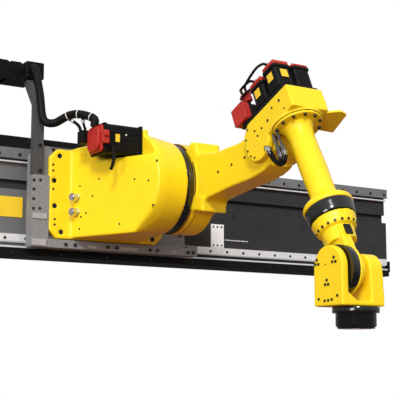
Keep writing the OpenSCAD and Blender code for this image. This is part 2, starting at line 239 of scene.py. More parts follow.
def lighten_along_rail(mat, pale, x_pale, x_dark, front_y):
    """Lightens a material's front faces towards the rail's left end; metres."""
    tree = mat.node_tree
    place = tree.nodes.new("ShaderNodeNewGeometry")
    split = tree.nodes.new("ShaderNodeSeparateXYZ")
    reach = tree.nodes.new("ShaderNodeMapRange")
    front = tree.nodes.new("ShaderNodeMath")
    both = tree.nodes.new("ShaderNodeMath")
    reach.inputs["From Min"].default_value = x_dark
    reach.inputs["From Max"].default_value = x_pale
    front.operation = "LESS_THAN"
    front.inputs[1].default_value = front_y
    both.operation = "MULTIPLY"
    tree.links.new(place.outputs["Position"], split.inputs["Vector"])
    tree.links.new(split.outputs["X"], reach.inputs["Value"])
    tree.links.new(split.outputs["Y"], front.inputs[0])
    tree.links.new(front.outputs[0], both.inputs[0])
    tree.links.new(reach.outputs["Result"], both.inputs[1])
    base = tree.nodes["Principled BSDF"].inputs["Base Color"]
    own = base.links[0].from_socket
    tree.links.new(mix_colours(tree, both.outputs[0], own, pale), base)


lighten_along_rail(MATERIALS["rail_grey"], (0.22, 0.22, 0.225), x_pale=-1.2, x_dark=-0.1, front_y=-0.22)


# ---------- shapes ----------

SCREW_SIDES = 24


def turns(count, start=0.0):
    """Angles of a whole turn in equal steps."""
    return [start + k * math.tau / count for k in range(count)]


def circle_points(r, count, start=0.0):
    return [(r * math.cos(a), r * math.sin(a)) for a in turns(count, start)]


def hexagon_points(r, count):
    """A hexagon of corner radius r, in as many points as a circle has."""
    flat = math.tau / 6
    reach = [r * math.cos(flat / 2) / math.cos((a % flat) - flat / 2) for a in turns(count)]
    return [(q * math.cos(a), q * math.sin(a)) for q, a in zip(reach, turns(count))]


def rounded(w, h, r, steps=5):
    """Outline of a rectangle with round corners, anticlockwise."""
    out = []
    for sx, sy, a0 in ((1, 1, 0), (-1, 1, 90), (-1, -1, 180), (1, -1, 270)):
        for k in range(steps + 1):
            a = math.radians(a0 + 90 * k / steps)
            out.append((sx * (w / 2 - r) + r * math.cos(a), sy * (h / 2 - r) + r * math.sin(a)))
    return out


def level(points, z):
    """Local x and y points at one height, as a loop in metres."""
    return [mm(x, y, z) for x, y in points]


def round_edges(obj, width):
    bevel = obj.modifiers.new("edges", "BEVEL")
    bevel.width = width / 1000
    bevel.segments = 2
    bevel.limit_method = "ANGLE"
    bevel.angle_limit = math.radians(35)
    bevel.harden_normals = True


class Shape:
    """Solids gathered in one mesh, each drawn in a frame of its own; sizes in millimetres."""

    def __init__(self, name):
        self.name = name
        self.bm = bmesh.new()

    def rings(self, loops, at=IDENTITY):
        """Joins loops of equal length, in metres, into a skin with a cap on each end."""
        rows = [[self.bm.verts.new(at @ p) for p in loop] for loop in loops]
        n = len(rows[0])
        for a, b in zip(rows, rows[1:]):
            for k in range(n):
                self.bm.faces.new((a[k], a[(k + 1) % n], b[(k + 1) % n], b[k]))
        self.bm.faces.new(rows[0][::-1])
        self.bm.faces.new(rows[-1])

    def lathe(self, profile, at=IDENTITY, sides=32):
        """Turns (radius, height) points about local z."""
        self.rings([level(circle_points(r, sides), z) for r, z in profile], at)

    def prism(self, outline, z0, z1, at=IDENTITY):
        """Extrudes an anticlockwise outline of local x and y points."""
        self.rings([level(outline, z) for z in (z0, z1)], at)

    def box(self, low, high, at=IDENTITY):
        (x0, y0, z0), (x1, y1, z1) = low, high
        self.prism([(x0, y0), (x1, y0), (x1, y1), (x0, y1)], z0, z1, at)

    def screw(self, point, direction, r, head):
        """A socket head screw; point, in metres, is under its head."""
        rim, edge = circle_points(r, SCREW_SIDES), circle_points(r * 0.9, SCREW_SIDES)
        mouth, floor = hexagon_points(r * 0.58, SCREW_SIDES), hexagon_points(r * 0.55, SCREW_SIDES)
        loops = [level(rim, 0), level(rim, head * 0.85), level(edge, head), level(mouth, head),
                 level(floor, head * 0.4)]
        self.rings(loops, aim(point, direction))

    def done(self, body, mat, bevel=0.0, smooth=35, replaces=()):
        """Makes the piece: its material and body, and the CAD nodes that it stands for."""
        bmesh.ops.recalc_face_normals(self.bm, faces=self.bm.faces)
        mesh = bpy.data.meshes.new(self.name)
        self.bm.to_mesh(mesh)
        self.bm.free()
        mesh.shade_smooth()
        mesh.set_sharp_from_angle(angle=math.radians(smooth))
        obj = bpy.data.objects.new(self.name, mesh)
        bpy.context.scene.collection.objects.link(obj)
        mesh.materials.append(MATERIALS[mat])
        if bevel:
            round_edges(obj, bevel)
        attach(obj, body)
        if replaces:
            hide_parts(*replaces)
        return obj


# ---------- carried-over CAD nodes ----------

WELD = 0.00005

# Castings in robot yellow: size of the voxels that round them, and rounds of smoothing.
CAST = {"base_casting": (7.5, 8), "arm": (7.0, 7), "elbow_casing": (4.5, 6), "forearm": (4.5, 5),
        "wrist_drum": (4.0, 6), "wrist_fork": (4.5, 9)}

# Other nodes: material and width of the rounded edges.
PLAIN = {
    "rail_beam": ("rail_grey", 2), "guide_strip": ("strip_grey", 1.5), "guide_edge": ("bright_steel", 0),
    "gear_rack": ("bright_steel", 0), "lower_guide": ("bright_steel", 1), "base_channel": ("black_steel", 3),
    "cable_trough": ("black_steel", 0), "rail_nose": ("black_plastic", 3), "mounting_pads": ("rail_grey", 2),
    "sign_plate": ("sign_yellow", 0), "scale_plate": ("plate_white", 1),
    "carriage_plate": ("carriage_grey", 3), "side_member": ("carriage_grey", 3),
    "lower_member": ("carriage_grey", 3), "bearing_blocks": ("strip_grey", 3), "cable_post": ("post_shaded_grey", 3),
    "chain_bracket": ("black_steel", 1), "cable_clamp": ("black_plastic", 5),
    "connector_box": ("black_plastic", 6), "base_fittings": ("fitting_chrome", 1),
    "shoulder_ring": ("flange_black", 2), "motor_plate": ("motor_black", 3),
    "side_bracket": ("robot_yellow", 2), "elbow_fittings": ("hose_steel", 1),
    "roll_ring": ("flange_black", 2), "bend_ring": ("flange_black", 2), "tool_flange": ("flange_black", 3),
}


def paint_node(name, mat):
    obj = frame["nodes"][name]
    obj.data.materials.clear()
    obj.data.materials.append(MATERIALS[mat])
    return obj


def round_casting(obj, voxel, settle):
    """The soft rounds of a casting."""
    skin = obj.modifiers.new("cast", "REMESH")
    skin.mode = "VOXEL"
    skin.voxel_size = voxel / 1000
    skin.use_smooth_shade = True
    soft = obj.modifiers.new("soft", "SMOOTH")
    soft.factor = 0.5
    soft.iterations = settle


def dress_nodes():
    for name, (voxel, settle) in CAST.items():
        round_casting(paint_node(name, "robot_yellow"), voxel, settle)
    for name, (mat, bevel) in PLAIN.items():
        obj = paint_node(name, mat)
        if bevel:
            obj.modifiers.new("weld", "WELD").merge_threshold = WELD
            round_edges(obj, bevel)


# ---------- rail ----------

BOLT_PITCH = 125.4
STRIP_END_GAP, RACK_END_GAP = 28, 100
BEAM_HOLES = ((872, -113, 9), (779, 39, 14))            # x, z and radius
SCALE_HOLES_X, SCALE_HOLES_Z = (618, 648, 679), (-38, -155)
TOOTH_PITCH, TOOTH_DEPTH = 12.566, 7
TOOTH_FOOT, TOOTH_TIP = 4.6, 1.9                        # half widths
SPRING_X, SPRING_Z, SPRING_COILS, SPRING_PITCH = 709, (-121, -114), 15, 12
CHANNEL_SCREWS, CHANNEL_MARGIN, CHANNEL_SCREW_Z = 14, 140, -279

rail_right = box_mm("guide_strip")[1].x
beam_face_y = box_mm("scale_plate")[1].y


def hole(shape, x, y, z, r, step=3, proud=0.6, sides=20):
    """A dark disc on a front face, in painted shade, which reads as a drilled hole."""
    shape.lathe([(r, 0), (r, proud), (r - step, proud + 0.2)], aim(mm(x, y, z), FRONT), sides)


def front_line(name):
    """A node's front y and its middle height."""
    low, high = box_mm(name)
    return low.y, (low.z + high.z) / 2


def bolt_row(end_gap):
    """Places along the rail at the bolts' pitch, from its right end to its left."""
    count = math.ceil((2 * rail_right - end_gap) / BOLT_PITCH)
    return [rail_right - end_gap - k * BOLT_PITCH for k in range(count)]


def rail_holes():
    # Dark discs of painted shade stand for the rail's holes.
    holes = Shape("rail_bolt_holes")
    strip_y, strip_z = front_line("guide_strip")
    for x in bolt_row(STRIP_END_GAP):
        holes.lathe([(11, 0), (11, 0.6), (8, 0.9), (7, 0.2)], aim(mm(x, strip_y, strip_z - 8), FRONT), 20)
    rack_y, rack_z = front_line("gear_rack")
    for x in bolt_row(RACK_END_GAP):
        hole(holes, x, rack_y, rack_z - 4, 9, proud=0.5, sides=16)
    for x, z, r in BEAM_HOLES:
        hole(holes, x, beam_face_y, z, r)
    scale_y = front_line("scale_plate")[0]
    for x in SCALE_HOLES_X:
        for z in SCALE_HOLES_Z:
            hole(holes, x, scale_y, z, 6.5, step=2.5, sides=16)
    holes.done("rail", "hole_painted_shade")


def rack_teeth():
    """Teeth that point down from the rack, drawn with local y up."""
    teeth = Shape("rack_teeth")
    low, high = box_mm("gear_rack")
    under = frame_at(mm(0, 0, low.z), X, Z, Y)
    outline = [(-TOOTH_FOOT, 0), (TOOTH_FOOT, 0), (TOOTH_TIP, -TOOTH_DEPTH), (-TOOTH_TIP, -TOOTH_DEPTH)]
    count = math.ceil((high.x - low.x) / TOOTH_PITCH) - 2
    for k in range(count):
        x = low.x + (k + 1) * TOOTH_PITCH
        teeth.prism([(x + dx, dz) for dx, dz in outline], low.y + 1, high.y - 1, under)
    teeth.done("rail", "bright_steel")


def rail_spring():
    """A row of coils beside the scale plate."""
    spring = Shape("spring")
    for k in range(SPRING_COILS):
        x = SPRING_X + k * SPRING_PITCH
        spring.box((x, beam_face_y - 4, SPRING_Z[0]), (x + 7, beam_face_y, SPRING_Z[1]))
    spring.done("rail", "plate_white", bevel=1)


def channel_screws():
    screws = Shape("channel_screws")
    front = box_mm("base_channel")[0].y
    step = 2 * (rail_right - CHANNEL_MARGIN) / (CHANNEL_SCREWS - 1)
    for k in range(CHANNEL_SCREWS):
        screws.screw(mm(k * step - rail_right + CHANNEL_MARGIN, front, CHANNEL_SCREW_Z), FRONT, 7, 4)
    screws.done("rail", "bolt_dark")


# ---------- carriage ----------

SIDE_HOLES = ((-671, 125), (-671, 74), (-671, 19), (-671, -36), (-632, 128), (-632, -33))
SIDE_TAG_X = (-676, -590)
SIDE_TAGS = ((-92, -60), (-243, -206))                  # z of both edges
LOWER_TAGS = ((-327, -277, -241, -224), (-118, -2, -238, -222), (238, 264, -239, -224))     # x, then z
LOWER_SCREWS_X = (-469, -410, -201, -143, 83, 135, 349, 385)
LOWER_SCREW_Z = -228
POST_SCREWS = ((-641, 326), (-637, 182), (-637, 480))
PLATE_EDGE = 318              # z of the plate's top row of screws, and x of its right row
PLATE_SCREWS_X, PLATE_SCREWS_Z = (-540, -300, -60, 180, 310), (120, 0, -120)
BRACKET_SCREWS_X, BRACKET_Y, BRACKET_UNDERSIDE = (-750, -700, -655, -620), -262, 731

member_front = box_mm("side_member")[0].y


def carriage_holes():
    holes = Shape("carriage_holes")
    for x, z in SIDE_HOLES:
        hole(holes, x, member_front, z, 9.5, step=2.5)
    holes.done("carriage", "hole_painted_shade")


def carriage_tags():
    """Plain plates on the members."""
    tags = Shape("carriage_tags")
    for z0, z1 in SIDE_TAGS:
        tags.box((SIDE_TAG_X[0], member_front - 7, z0), (SIDE_TAG_X[1], member_front, z1))
    for x0, x1, z0, z1 in LOWER_TAGS:
        tags.box((x0, member_front - 2, z0), (x1, member_front, z1))
    tags.done("carriage", "tag_grey", bevel=1.2)


def carriage_screws():
    screws = Shape("carriage_screws")
    post_front, plate_front = box_mm("cable_post")[0].y, box_mm("carriage_plate")[0].y
    for x in LOWER_SCREWS_X:
        screws.screw(mm(x, member_front, LOWER_SCREW_Z), FRONT, 10, 7)
    for x, z in POST_SCREWS:
        screws.screw(mm(x, post_front, z), FRONT, 11, 8)
    for x in PLATE_SCREWS_X:
        screws.screw(mm(x, plate_front, PLATE_EDGE), FRONT, 10, 7)
    for z in PLATE_SCREWS_Z:
        screws.screw(mm(PLATE_EDGE, plate_front, z), FRONT, 12, 9)
    for x in BRACKET_SCREWS_X:
        screws.screw(mm(x, BRACKET_Y, BRACKET_UNDERSIDE), -Z, 7, 5)
    screws.done("carriage", "bolt_dark")


# ---------- cable carrier ----------

CARRIER_T = 118               # height of its links
LINK_PITCH = 92               # about: a whole number of links fills the line
CLAMP_GRIP = 26               # how far the top run reaches into the clamp
LINK_HALF = CARRIER_T / 2 - 1.5
LINK_WALL, LINK_INSET = 9, 5                        # a side plate's thickness; every second one is set in
BAR_HALF, BAR_T, BAR_GAP = 16, 9, 12
CARRIER_CABLES = ((-30, 15), (4, 17), (34, 12))     # place across the carrier, and radius
CABLE_STEPS, CABLE_END = 64, 5


def across(heading):
    """The direction from the carrier's middle line to the inner side of its loop."""
    return Vector((-heading.z, 0, heading.x))


class CarrierLine:
    """The carrier's middle line in x and z: top run, round end at the left, lower run."""

    def __init__(self):
        low, high = box_mm("cable_chain")
        self.radius = (high.z - low.z - CARRIER_T) / 2
        self.mid_z = (high.z + low.z) / 2
        self.turn_x = low.x + self.radius + CARRIER_T / 2
        self.start_x = box_mm("cable_clamp")[0].x + CLAMP_GRIP
        self.top = self.start_x - self.turn_x
        self.bend = math.pi * self.radius
        self.length = self.top + self.bend + high.x - self.turn_x
        self.count = round(self.length / LINK_PITCH)
        self.pitch = self.length / self.count

    def at(self, s):
        """Place and heading at length s from the clamp."""
        if s < self.top:
            return Vector((self.start_x - s, 0, self.mid_z + self.radius)), -X
        past = s - self.top - self.bend
        if past < 0:
            a = math.pi / 2 + (s - self.top) / self.radius
            spoke = Vector((math.cos(a), 0, math.sin(a)))
            return Vector((self.turn_x, 0, self.mid_z)) + self.radius * spoke, Vector((-spoke.z, 0, spoke.x))
        return Vector((self.turn_x + past, 0, self.mid_z - self.radius)), X

    def link(self, k):
        """A link's local frame: x along the line, y to the loop's inner side, z to the front."""
        place, heading = self.at((k + 0.5) * self.pitch)
        return frame_at(place / 1000, heading, across(heading), FRONT)


def carrier_bars(line):
    """Cross bars on the inner and the outer side of each link."""
    bars = Shape("carrier_bars")
    low, high = box_mm("cable_chain")
    for k in range(line.count):
        for side in (1, -1):
            outer, inner = side * LINK_HALF, side * (LINK_HALF - BAR_T)
            bars.prism([(-BAR_HALF, outer), (BAR_HALF, outer), (BAR_HALF, inner), (-BAR_HALF, inner)],
                       -high.y + BAR_GAP, -low.y - BAR_GAP, line.link(k))
    bars.done("carriage", "black_plastic", bevel=1)


def carrier_plates(line):
    """Side plates that overlap, with a raised panel on the front ones."""
    plates = Shape("carrier_plates")
    low, high = box_mm("cable_chain")
    for k in range(line.count):
        link = line.link(k)
        inset = 0 if k % 2 else LINK_INSET
        reach = line.pitch / 2 + 7 if 0 < k < line.count - 1 else line.pitch / 2 - 1
        front, back = -low.y - inset, -high.y + inset
        for start in (front - LINK_WALL, back):
            plates.prism(rounded(2 * reach, 2 * LINK_HALF, 22), start, start + LINK_WALL, link)
        panel = rounded(line.pitch * 0.52, LINK_HALF * 1.1, 10)
        plates.prism(panel, front, front + 0.5 * inset + 0.4, link)
    plates.done("carriage", "black_plastic", bevel=1.5, replaces=("cable_chain",))


def carrier_cables(line):
    """Cables that lie side by side in the carrier."""
    cables = Shape("carrier_cables")
    low, high = box_mm("cable_chain")
    stops = [CABLE_END] + [line.length * i / CABLE_STEPS for i in range(1, CABLE_STEPS)]
    stops.append(line.length - CABLE_END)
    for off, r in CARRIER_CABLES:
        lane = Y * ((low.y + high.y) / 2 + off)
        loops = []
        for s in stops:
            place, heading = line.at(s)
            side = across(heading)
            loops.append([(place + lane + side * u + Y * v) / 1000 for u, v in circle_points(r, 12)])
        cables.rings(loops)
    cables.done("carriage", "cable_rubber")


# ---------- cable bundle ----------

ROUTE = [(-657, -288.3, 790), (-657, -318, 790), (-655, -350, 745), (-653, -370, 690), (-654, -400, 620),
         (-656, -422, 555), (-655, -434, 500), (-645, -446, 458), (-625, -465, 442), (-598, -495, 442),
         (-572, -525, 460), (-545, -560, 478), (-518, -605, 480), (-486, -655, 466), (-458, -700, 440),
         (-458, -700, 399.3)]
BUNDLE_R = 24
RIB_DEPTH = 1.8
TIES_AT = (86, 97, 108)       # steps of the smooth path
TIE_WIDTH = 5


def smooth_path(points, steps):
    """Catmull-Rom curve through the points."""
    p = [Vector(q) for q in points]
    p = [2 * p[0] - p[1]] + p + [2 * p[-1] - p[-2]]
    out = []
    for i in range(1, len(p) - 2):
        for k in range(steps):
            t = k / steps
            out.append(0.5 * (2 * p[i] + (p[i + 1] - p[i - 1]) * t
                              + (2 * p[i - 1] - 5 * p[i] + 4 * p[i + 1] - p[i + 2]) * t * t
                              + (3 * p[i] - p[i - 1] - 3 * p[i + 1] + p[i + 2]) * t ** 3))
    out.append(p[-2])
    return out


def tube_loops(path, radii, sides):
    """Loops round a path in millimetres, one radius for each of its points; the loops are in metres."""
    loops, u = [], None
    for i, (point, r) in enumerate(zip(path, radii)):
        t = (path[min(i + 1, len(path) - 1)] - path[max(i - 1, 0)]).normalized()
        u = t.orthogonal().normalized() if u is None else (u - u.dot(t) * t).normalized()
        v = t.cross(u)
        loops.append([(point + r * (math.cos(a) * u + math.sin(a) * v)) / 1000 for a in turns(sides)])
    return loops


def lead(shape, points, r, at=IDENTITY):
    """A short cable through points of a local frame."""
    path = smooth_path(points, 6)
    shape.rings(tube_loops(path, [r] * len(path), 14), at)


def bundle():
    """The ribbed hose from the carrier to the base motor, with pale ties."""
    path = smooth_path(ROUTE, 8)
    hose = Shape("bundle_hose")
    hose.rings(tube_loops(path, [BUNDLE_R - RIB_DEPTH * (i % 2) for i in range(len(path))], 20))
    hose_obj = hose.done("carriage", "cable_rubber", smooth=60, replaces=("cable_bundle",))
    ties = Shape("bundle_ties")
    for i in TIES_AT:
        a, b = path[i], path[i + 1]
        ties.rings(tube_loops([a, a + (b - a).normalized() * TIE_WIDTH], [BUNDLE_R + 1.2] * 2, 20))
    tie_obj = ties.done("carriage", "tie_pale")


# ---------- servo motors ----------

SERVO_FOOT, SERVO_HEAD = 12, 16         # heights of the end plates


def servo_case(name, at, w, h):
    """End plates, waist and fins; stands on local z = 0."""
    case = Shape(name)
    case.prism(rounded(w, w, 8), 0, SERVO_FOOT, at)
    case.prism(rounded(w - 14, w - 14, 14), SERVO_FOOT, h - SERVO_HEAD, at)
    case.prism(rounded(w - 4, w - 4, 12), h - SERVO_HEAD, h, at)
    for side in range(4):
        turn = at @ Matrix.Rotation(side * math.pi / 2, 4, "Z")
        for k in (-1, 0, 1):
            middle = k * w * 0.2
            case.box((w / 2 - 8, middle - 2.5, 2 * SERVO_FOOT), (w / 2 - 3.5, middle + 2.5, h - 26), turn)
    return case


def servo_cap(name, at, w, h, cap_h, neck):
    """The cap on the motor's head; with a neck it steps in by that much, near half its height."""
    cap = Shape(name)
    wide = w - 6 - neck / 2
    if neck:
        cap.prism(rounded(wide, wide, 18), h, h + cap_h * 0.45, at)
        cap.prism(rounded(w - 6 - neck, w - 6 - neck, 40, 8), h + cap_h * 0.4, h + cap_h, at)
    else:
        cap.prism(rounded(wide, wide, 18), h, h + cap_h, at)
    return cap


def servo(name, at, w, h, cap_h, body, replaces, neck=0):
    """A servo motor that stands on local z = 0: finned case, red cap and screws."""
    servo_case(name, at, w, h).done(body, "motor_black", bevel=2.5, replaces=replaces)
    servo_cap(name + "_cap", at, w, h, cap_h, neck).done(body, "cap_red", bevel=6)
    bolts = Shape(name + "_screws")
    out, up = w / 2 - 12, at.to_3x3() @ Z
    for sx in (1, -1):
        for sy in (1, -1):
            bolts.screw(at @ mm(sx * out, sy * out, h + cap_h), up, 4, 2)
    bolts.done(body, "bolt_dark")


def patch(shape, at, w, h):
    """A plain sticker."""
    shape.prism(rounded(w, h, 2, 2), 0, 1, at)


# The base motor lies along the rail with its cap to the left.
BASE_PLUG = ((-432, 330, 40, 74, 24), (-436, 346, 30, 32, 38))      # x, z, width, height and depth
CONNECTOR_LEADS = (
    ([(-560, -548, 466), (-530, -572, 446), (-500, -588, 420), (-488, -592, 391)], 9),
    ([(-500, -628, 470), (-492, -626, 440), (-480, -618, 415), (-468, -612, 391)], 7),
)
LEAD_TIES = (((-530, -572, 446), (30, -16, -26)), ((-492, -626, 440), (12, 8, -25)))
TAIL_LEAD = [(-392, -779, 285), (-392, -800, 263), (-390, -806, 225), (-392, -802, 185), (-398, -786, 150)]


def base_motor():
    low, high = box_mm("base_motor")
    cap_low, cap_high = box_mm("base_motor_cap")
    seat = mm(high.x, (low.y + high.y) / 2, (low.z + high.z) / 2)
    servo("servo_base", frame_at(seat, Z, Y, -X), high.y - low.y, high.x - low.x, cap_high.x - cap_low.x,
          "carriage", ("base_motor", "base_motor_cap"), neck=34)


def base_motor_plug():
    plug = Shape("servo_base_plug")
    side = box_mm("base_motor")[0].y
    for x, z, w, h, out in BASE_PLUG:
        plug.prism(rounded(w, h, 8), 0, out, facing_front(x, side + 4, z))
    plug.done("carriage", "cap_red", bevel=4)


def connector_leads():
    drop = Shape("connector_lead")
    for points, r in CONNECTOR_LEADS:
        lead(drop, points, r)
    drop.done("carriage", "cable_rubber", smooth=60)
    ties = Shape("lead_ties")
    for place, way in LEAD_TIES:
        ties.lathe([(8, -6), (12, -6), (12, 6), (8, 6)], aim(mm(*place), way), 20)
    ties.done("carriage", "tie_pale")


def base_motor_stickers():
    low, high = box_mm("base_motor")
    side, mid_z = low.y + 3, (low.z + high.z) / 2
    tag = Shape("servo_base_tag")
    patch(tag, facing_front(-352, side, mid_z + 4), 27, 44)
    tag.done("carriage", "patch_yellow")
    dot = Shape("servo_base_dot")
    dot.lathe([(5, 0), (5, 4), (3, 6)], aim(mm(-300, side, mid_z + 26), FRONT), 16)
    dot.done("carriage", "tie_pale")


def base_motor_tail():
    tail = Shape("servo_base_lead")
    lead(tail, TAIL_LEAD, 9)
    tail.done("carriage", "cable_rubber", smooth=60)


# The elbow's motors stand on a plate on the casing's rear face; places are on that face.
MOTOR_PLATE_T = 26
WRIST_SERVO_W, ELBOW_SERVO_W = 112, 116
WRIST_SERVOS = ((-60, -308, 138, 22), (-60, -184, 122, 24), (64, -308, 144, 14))    # x, y, height and cap
ELBOW_SERVO = (110, -8, 190, 45)                    # lies on its side: x, y, length and cap
PATCH_SIZE, SIDE_PATCH_X, SIDE_PATCHES = (44, 46), -113, ((-308, 106), (-184, 96))
END_PATCH = (-60, -361, 106)
ELBOW_PLUG_X, ELBOW_PLUGS_Y = -70, (-60, -24)
# A plug's stacked blocks: width, depth, corner radius, and z of both ends.
PLUG_STEPS = ((32, 28, 4, 0, 26), (27, 23, 4, 26, 34), (32, 28, 6, 34, 58))
ELBOW_LEADS = (
    ([(-96, -300, 184), (-118, -296, 200), (-140, -262, 196), (-142, -196, 186), (-118, -118, 196),
      (-84, -70, 214), (-72, -60, 198)], 7),
    ([(-96, -176, 170), (-122, -168, 184), (-134, -130, 182), (-116, -70, 198), (-86, -36, 216),
      (-72, -26, 198)], 7),
    ([(-60, -120, 172), (-66, -100, 196), (-96, -66, 176), (-118, -50, 150)], 6),
)
LEAD_ENDS = ((-96, -300, 180), (-96, -176, 166), (-60, -122, 168))


def elbow_motors():
    for i, (x, y, h, cap_h) in enumerate(WRIST_SERVOS, 1):
        servo(f"servo_wrist_{i}", ON_REAR @ shift(x, y, MOTOR_PLATE_T), WRIST_SERVO_W, h, cap_h,
              "elbow", (f"wrist_motor_{i}",))
    x, y, length, cap_h = ELBOW_SERVO
    lying = frame_at(mm(x, y, MOTOR_PLATE_T + ELBOW_SERVO_W / 2), Z, Y, -X)
    servo("servo_elbow", ON_REAR @ lying, ELBOW_SERVO_W, length, cap_h, "elbow", ("elbow_motor",))


def elbow_motor_stickers():
    tags = Shape("servo_tags")
    for y, z in SIDE_PATCHES:
        patch(tags, ON_REAR @ frame_at(mm(SIDE_PATCH_X, y, z), Y, Z, -X), *PATCH_SIZE)
    patch(tags, ON_REAR @ facing_front(*END_PATCH), *PATCH_SIZE)
    tags.done("elbow", "patch_yellow")


def elbow_plugs():
    plugs = Shape("elbow_plugs")
    for y in ELBOW_PLUGS_Y:
        base = ON_REAR @ shift(ELBOW_PLUG_X, y, MOTOR_PLATE_T + ELBOW_SERVO_W)
        for w, h, r, z0, z1 in PLUG_STEPS:
            plugs.prism(rounded(w, h, r), z0, z1, base)
    plugs.done("elbow", "cap_red", bevel=2, replaces=("elbow_connectors",))


def elbow_leads():
    leads = Shape("elbow_leads")
    for points, r in ELBOW_LEADS:
        lead(leads, points, r, ON_REAR)
    leads.done("elbow", "cable_rubber", smooth=60)
    ends = Shape("elbow_lead_ends")
    for place in LEAD_ENDS:
        ends.lathe([(10, 0), (10, 10), (8.5, 12), (8.5, 22), (7.5, 24)], ON_REAR @ aim(mm(*place), Z), 20)
    ends.done("elbow", "fitting_chrome")


# ---------- base ----------

# Screws of the base flange: x and z from the shoulder axis, large in counterbores and small.
FOOT_SCREWS = ((-514, 184), (-546, 39), (-541, -106), (-498, -253), (100, -259))
FOOT_SCREW_Y = 311.5
TAPPED_SCREWS = ((-556, 130), (-556, 96), (-553, -10), (-541, -182), (-541, -213), (138, -225))
FOOT_Y = 300
# The slanted left face of the casting: x and y of its foot edge and of its drum edge.
SLANT_FOOT, SLANT_DRUM = (-440, FOOT_Y), (-200, -286)
# Plugs on that face: distance from its foot edge, height from the axis.
PLUGS = [(67, 10), (161, -56), (115, -149), (78, -169), (68, -237), (208, 37), (463, 11), (560, -6),
         (616, 99), (592, -144), (360, -230), (300, 120)]
FITTINGS = ((45, -57), (45, -141))          # the same two measures

slant_foot = AT_SHOULDER @ mm(*SLANT_FOOT, 0)
slant_way = (AT_SHOULDER @ mm(*SLANT_DRUM, 0) - slant_foot).normalized()
slant_out = Vector((slant_way.y, -slant_way.x, 0))


def on_slant(run, z, lift=0):
    """A local frame on the slanted face whose z axis looks out of it."""
    point = slant_foot + (slant_way * run + Z * z + slant_out * lift) / 1000
    return aim(point, slant_out)


def base_screws():
    screws = Shape("base_screws")
    for x, z in FOOT_SCREWS:
        screws.screw(AT_SHOULDER @ mm(x, FOOT_SCREW_Y, z), FRONT, 14.5, 10)
    for x, z in TAPPED_SCREWS:
        screws.screw(AT_SHOULDER @ mm(x, FOOT_Y, z), FRONT, 6, 4)
    screws.done("carriage", "bolt_dark")


def slant_details():
    """Plugs in the slanted face, and the rims of its two service fittings."""
    plugs = Shape("base_plugs")
    for run, z in PLUGS:
        plugs.lathe([(6, -2), (6, 1.2), (4.5, 2), (3, 2), (2.5, 0.5)], on_slant(run, z), 16)
    plugs.done("carriage", "bolt_dark")
    rims = Shape("fitting_rims")
    for run, z in FITTINGS:
        at = on_slant(run, z, lift=0.5)
        rims.lathe([(27, 0), (27, 8), (23, 11), (23, 12)], at, 6)
        rims.lathe([(15, 44), (15, 47.5), (12, 47.5), (11, 45.5)], at, 24)
    rims.done("carriage", "fitting_chrome")


# ---------- arm ----------

HUB_R = 260.8
HUB_SEAMS = ((50.5, 53), (84, 87))                      # x of both edges
HUB_FACE_X, HUB_SCREW_R = 205, 236
ARM_SCREWS = ((-470, 30), (-600, 50), (-720, 70))       # y and z from the shoulder axis
ARM_SIDES = (60, 210)


def arm_details():
    seams = Shape("hub_bands")
    for x0, x1 in HUB_SEAMS:
        seams.lathe([(HUB_R - 8, x0), (HUB_R, x0), (HUB_R, x1), (HUB_R - 8, x1)],
                    AT_SHOULDER @ aim((0, 0, 0), X), 96)
    seams.done("upper_arm", "seam_brown")
    screws = Shape("arm_screws")
    for y, z in circle_points(HUB_SCREW_R, 12, math.radians(-160)):
        screws.screw(AT_SHOULDER @ mm(HUB_FACE_X, y, z), X, 10, 9)
    for y, z in ARM_SCREWS:
        screws.screw(AT_SHOULDER @ mm(ARM_SIDES[0], y, z), -X, 8, 2)
        screws.screw(AT_SHOULDER @ mm(ARM_SIDES[1], y, z), X, 8, 2)
    screws.done("upper_arm", "bolt_dark")


# ---------- elbow and forearm ----------

# On both cheeks: y and z from the elbow axis, and the radius of a plug.
CHEEK_SCREWS = ((88, 24), (74, -36), (46, -66), (14, -78), (-14, 30), (76, 76), (12, 60), (-49, 64),
                (-136, 151))
CHEEK_PLUGS = ((-97, 94, 8), (-193, 177, 8), (-235, 130, 5), (-78, -44, 13))
# Hoses under the elbow, from the service fittings back to the flange; places on the forearm.
ELBOW_HOSES = (
    ([(-108, -38, 140), (-108, -42, 164), (-109, -66, 180), (-110, -102, 164), (-111, -130, 110),
      (-112, -140, 60), (-112, -142, 22)], 9),
    ([(-110, -68, 140), (-110, -74, 158), (-111, -92, 160), (-112, -110, 130), (-112, -120, 80),
      (-112, -128, 36)], 8),
)
LOWER_FERRULES = ((-112, -141, 26), (-112, -127, 40))
UPPER_FERRULES = ((-108, -38, 132), (-110, -68, 128))
FLANGE_SCREW_R = 116


def elbow_cheek(side, name, x):
    """Centre cap, screws and plugs of one cheek; side is -1 for the left one."""
    out = X * side
    boss = Shape(name)
    boss.lathe([(24, -3), (24, 0.2), (22, 1.0), (10, 1.0), (8, 0.4)], aim(AT_ELBOW @ mm(x, 0, 0), out), 48)
    boss.done("elbow", "robot_yellow", smooth=40)
    screws = Shape(name + "_screws")
    for y, z in CHEEK_SCREWS:
        screws.screw(AT_ELBOW @ mm(x + side * 1.2, y, z), out, 5.5, 3.5)
    for y, z, r in CHEEK_PLUGS:
        screws.lathe([(r, -1), (r, 1.5), (r - 2, 2.5), (r - 3, 1)], aim(AT_ELBOW @ mm(x, y, z), out), 20)
    screws.done("elbow", "bolt_dark")


